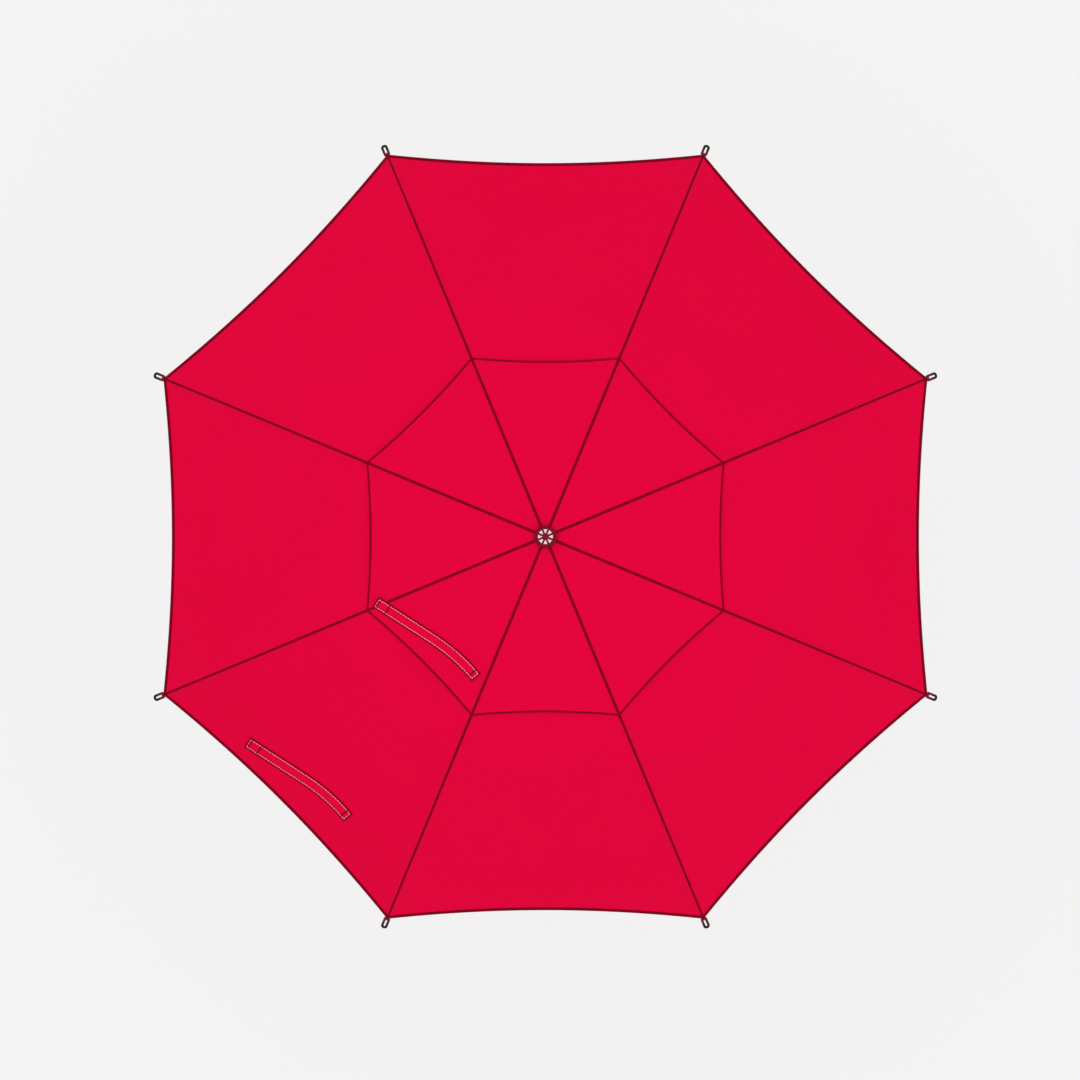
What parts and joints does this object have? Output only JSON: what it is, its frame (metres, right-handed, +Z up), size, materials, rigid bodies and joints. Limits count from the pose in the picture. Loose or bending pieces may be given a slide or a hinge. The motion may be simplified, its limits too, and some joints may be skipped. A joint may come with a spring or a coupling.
{
  "type": "golf umbrella",
  "caption": "Open golf umbrella with a red vented double canopy, hinged ribs and stretchers, a sliding runner, tie straps, a straight foam grip and a spike on top.",
  "frame": {"origin": "middle of the handle's end face", "axes": "+Z up along the shaft to the spike; rib 1 lies 22.5 degrees from +X towards +Y; the tie straps are on the panel halfway between -X and -Y"},
  "size_m": [1.127, 1.127, 0.95],
  "materials": {
    "canopy_cloth": "woven polyester, plain red",
    "strap_cloth": "woven strap with stitched edges",
    "fibreglass": "drawn fibreglass rod",
    "black_plastic": "moulded black plastic",
    "shaft_finish": "dark coated tube",
    "steel": "bright steel wire and pins",
    "white_plastic": "white plastic disc",
    "grip_foam": "closed-cell foam"
  },
  "bodies": {
    "shaft_and_handle": {"lower_canopy": "canopy_cloth", "upper_canopy": "canopy_cloth", "strap_vent": "strap_cloth", "strap_hem": "strap_cloth", "shaft": "shaft_finish", "stop_pins": "steel", "notch": "black_plastic", "notch_wire": "steel", "ferrule_spike": "black_plastic", "ferrule_cap": "black_plastic", "ferrule_disc": "white_plastic", "rosette_washer": "black_plastic", "handle_core": "black_plastic", "handle_grip": "grip_foam", "handle_cap": "black_plastic", "handle_collar": "black_plastic"},
    "rib_1": {"rib_inner_1": "fibreglass", "rib_clip_1": "black_plastic"},
    "rib_end_1": {"rib_outer_1": "fibreglass", "rib_tip_1": "black_plastic"},
    "stretcher_1": {"stretcher_1": "fibreglass"},
    "rib_2": {"rib_inner_2": "fibreglass", "rib_clip_2": "black_plastic"},
    "rib_end_2": {"rib_outer_2": "fibreglass", "rib_tip_2": "black_plastic"},
    "stretcher_2": {"stretcher_2": "fibreglass"},
    "rib_3": {"rib_inner_3": "fibreglass", "rib_clip_3": "black_plastic"},
    "rib_end_3": {"rib_outer_3": "fibreglass", "rib_tip_3": "black_plastic"},
    "stretcher_3": {"stretcher_3": "fibreglass"},
    "rib_4": {"rib_inner_4": "fibreglass", "rib_clip_4": "black_plastic"},
    "rib_end_4": {"rib_outer_4": "fibreglass", "rib_tip_4": "black_plastic"},
    "stretcher_4": {"stretcher_4": "fibreglass"},
    "rib_5": {"rib_inner_5": "fibreglass", "rib_clip_5": "black_plastic"},
    "rib_end_5": {"rib_outer_5": "fibreglass", "rib_tip_5": "black_plastic"},
    "stretcher_5": {"stretcher_5": "fibreglass"},
    "rib_6": {"rib_inner_6": "fibreglass", "rib_clip_6": "black_plastic"},
    "rib_end_6": {"rib_outer_6": "fibreglass", "rib_tip_6": "black_plastic"},
    "stretcher_6": {"stretcher_6": "fibreglass"},
    "rib_7": {"rib_inner_7": "fibreglass", "rib_clip_7": "black_plastic"},
    "rib_end_7": {"rib_outer_7": "fibreglass", "rib_tip_7": "black_plastic"},
    "stretcher_7": {"stretcher_7": "fibreglass"},
    "rib_8": {"rib_inner_8": "fibreglass", "rib_clip_8": "black_plastic"},
    "rib_end_8": {"rib_outer_8": "fibreglass", "rib_tip_8": "black_plastic"},
    "stretcher_8": {"stretcher_8": "fibreglass"},
    "runner": {"runner": "black_plastic", "runner_wire": "steel", "latch_pin": "steel"},
    "latch": {"latch_lever": "black_plastic"}
  },
  "joints": [
    {"name": "rib_fold_1", "type": "hinge", "parent": "shaft_and_handle", "child": "rib_1", "pos_m": [0.01016, 0.00421, 0.885], "axis": [-0.3827, 0.9239, 0], "range_deg": [0, 70.89], "deforming": ["lower_canopy", "upper_canopy", "strap_vent", "strap_hem"]},
    {"name": "stretcher_fold_1", "type": "hinge", "parent": "rib_1", "child": "stretcher_1", "pos_m": [0.27494, 0.11388, 0.7995], "axis": [-0.3827, 0.9239, 0], "range_deg": [-141.88, 0.1]},
    {"name": "rib_bend_1", "type": "hinge", "parent": "rib_1", "child": "rib_end_1", "pos_m": [0.28057, 0.11621, 0.80365], "axis": [-0.3827, 0.9239, 0], "range_deg": [-12.86, 0.1]},
    {"name": "rib_fold_2", "type": "hinge", "parent": "shaft_and_handle", "child": "rib_2", "pos_m": [0.00421, 0.01016, 0.885], "axis": [-0.9239, 0.3827, 0], "range_deg": [-0.1, 70.99]},
    {"name": "stretcher_fold_2", "type": "hinge", "parent": "rib_2", "child": "stretcher_2", "pos_m": [0.11388, 0.27494, 0.7995], "axis": [-0.9239, 0.3827, 0], "range_deg": [-141.88, 0.1]},
    {"name": "rib_bend_2", "type": "hinge", "parent": "rib_2", "child": "rib_end_2", "pos_m": [0.11621, 0.28057, 0.80365], "axis": [-0.9239, 0.3827, 0], "range_deg": [-12.86, 0.1]},
    {"name": "rib_fold_3", "type": "hinge", "parent": "shaft_and_handle", "child": "rib_3", "pos_m": [-0.00421, 0.01016, 0.885], "axis": [-0.9239, -0.3827, 0], "range_deg": [-0.1, 70.99]},
    {"name": "stretcher_fold_3", "type": "hinge", "parent": "rib_3", "child": "stretcher_3", "pos_m": [-0.11388, 0.27494, 0.7995], "axis": [-0.9239, -0.3827, 0], "range_deg": [-141.88, 0.1]},
    {"name": "rib_bend_3", "type": "hinge", "parent": "rib_3", "child": "rib_end_3", "pos_m": [-0.11621, 0.28057, 0.80365], "axis": [-0.9239, -0.3827, 0], "range_deg": [-12.86, 0.1]},
    {"name": "rib_fold_4", "type": "hinge", "parent": "shaft_and_handle", "child": "rib_4", "pos_m": [-0.01016, 0.00421, 0.885], "axis": [-0.3827, -0.9239, 0], "range_deg": [-0.1, 70.99]},
    {"name": "stretcher_fold_4", "type": "hinge", "parent": "rib_4", "child": "stretcher_4", "pos_m": [-0.27494, 0.11388, 0.7995], "axis": [-0.3827, -0.9239, 0], "range_deg": [-141.88, 0.1]},
    {"name": "rib_bend_4", "type": "hinge", "parent": "rib_4", "child": "rib_end_4", "pos_m": [-0.28057, 0.11621, 0.80365], "axis": [-0.3827, -0.9239, 0], "range_deg": [-12.86, 0.1]},
    {"name": "rib_fold_5", "type": "hinge", "parent": "shaft_and_handle", "child": "rib_5", "pos_m": [-0.01016, -0.00421, 0.885], "axis": [0.3827, -0.9239, 0], "range_deg": [-0.1, 70.99]},
    {"name": "stretcher_fold_5", "type": "hinge", "parent": "rib_5", "child": "stretcher_5", "pos_m": [-0.27494, -0.11388, 0.7995], "axis": [0.3827, -0.9239, 0], "range_deg": [-141.88, 0.1]},
    {"name": "rib_bend_5", "type": "hinge", "parent": "rib_5", "child": "rib_end_5", "pos_m": [-0.28057, -0.11621, 0.80365], "axis": [0.3827, -0.9239, 0], "range_deg": [-12.86, 0.1]},
    {"name": "rib_fold_6", "type": "hinge", "parent": "shaft_and_handle", "child": "rib_6", "pos_m": [-0.00421, -0.01016, 0.885], "axis": [0.9239, -0.3827, 0], "range_deg": [-0.1, 70.99]},
    {"name": "stretcher_fold_6", "type": "hinge", "parent": "rib_6", "child": "stretcher_6", "pos_m": [-0.11388, -0.27494, 0.7995], "axis": [0.9239, -0.3827, 0], "range_deg": [-141.88, 0.1]},
    {"name": "rib_bend_6", "type": "hinge", "parent": "rib_6", "child": "rib_end_6", "pos_m": [-0.11621, -0.28057, 0.80365], "axis": [0.9239, -0.3827, 0], "range_deg": [-12.86, 0.1]},
    {"name": "rib_fold_7", "type": "hinge", "parent": "shaft_and_handle", "child": "rib_7", "pos_m": [0.00421, -0.01016, 0.885], "axis": [0.9239, 0.3827, 0], "range_deg": [-0.1, 70.99]},
    {"name": "stretcher_fold_7", "type": "hinge", "parent": "rib_7", "child": "stretcher_7", "pos_m": [0.11388, -0.27494, 0.7995], "axis": [0.9239, 0.3827, 0], "range_deg": [-141.88, 0.1]},
    {"name": "rib_bend_7", "type": "hinge", "parent": "rib_7", "child": "rib_end_7", "pos_m": [0.11621, -0.28057, 0.80365], "axis": [0.9239, 0.3827, 0], "range_deg": [-12.86, 0.1]},
    {"name": "rib_fold_8", "type": "hinge", "parent": "shaft_and_handle", "child": "rib_8", "pos_m": [0.01016, -0.00421, 0.885], "axis": [0.3827, 0.9239, 0], "range_deg": [-0.1, 70.99]},
    {"name": "stretcher_fold_8", "type": "hinge", "parent": "rib_8", "child": "stretcher_8", "pos_m": [0.27494, -0.11388, 0.7995], "axis": [0.3827, 0.9239, 0], "range_deg": [-141.88, 0.1]},
    {"name": "rib_bend_8", "type": "hinge", "parent": "rib_8", "child": "rib_end_8", "pos_m": [0.28057, -0.11621, 0.80365], "axis": [0.3827, 0.9239, 0], "range_deg": [-12.86, 0.1]},
    {"name": "runner_slide_turn", "type": "hinge", "parent": "stretcher_1", "child": "runner", "pos_m": [0.01016, 0.00421, 0.714], "axis": [-0.3827, 0.9239, 0], "range_deg": [-0.1, 70.99]},
    {"name": "latch_press", "type": "hinge", "parent": "runner", "child": "latch", "pos_m": [0.0128, 0, 0.684], "axis": [0, 1, 0], "range_deg": [0, 8], "stiffness_Nm_per_rad": 0.05}
  ],
  "couplings": [
    {"joint": "stretcher_fold_1", "follows": "rib_fold_1", "ratio": -2},
    {"joint": "rib_bend_1", "follows": "rib_fold_1", "ratio": -0.18},
    {"joint": "rib_fold_2", "follows": "rib_fold_1", "ratio": 1},
    {"joint": "stretcher_fold_2", "follows": "rib_fold_1", "ratio": -2},
    {"joint": "rib_bend_2", "follows": "rib_fold_1", "ratio": -0.18},
    {"joint": "rib_fold_3", "follows": "rib_fold_1", "ratio": 1},
    {"joint": "stretcher_fold_3", "follows": "rib_fold_1", "ratio": -2},
    {"joint": "rib_bend_3", "follows": "rib_fold_1", "ratio": -0.18},
    {"joint": "rib_fold_4", "follows": "rib_fold_1", "ratio": 1},
    {"joint": "stretcher_fold_4", "follows": "rib_fold_1", "ratio": -2},
    {"joint": "rib_bend_4", "follows": "rib_fold_1", "ratio": -0.18},
    {"joint": "rib_fold_5", "follows": "rib_fold_1", "ratio": 1},
    {"joint": "stretcher_fold_5", "follows": "rib_fold_1", "ratio": -2},
    {"joint": "rib_bend_5", "follows": "rib_fold_1", "ratio": -0.18},
    {"joint": "rib_fold_6", "follows": "rib_fold_1", "ratio": 1},
    {"joint": "stretcher_fold_6", "follows": "rib_fold_1", "ratio": -2},
    {"joint": "rib_bend_6", "follows": "rib_fold_1", "ratio": -0.18},
    {"joint": "rib_fold_7", "follows": "rib_fold_1", "ratio": 1},
    {"joint": "stretcher_fold_7", "follows": "rib_fold_1", "ratio": -2},
    {"joint": "rib_bend_7", "follows": "rib_fold_1", "ratio": -0.18},
    {"joint": "rib_fold_8", "follows": "rib_fold_1", "ratio": 1},
    {"joint": "stretcher_fold_8", "follows": "rib_fold_1", "ratio": -2},
    {"joint": "rib_bend_8", "follows": "rib_fold_1", "ratio": -0.18},
    {"joint": "runner_slide_turn", "follows": "rib_fold_1", "ratio": 1}
  ]
}
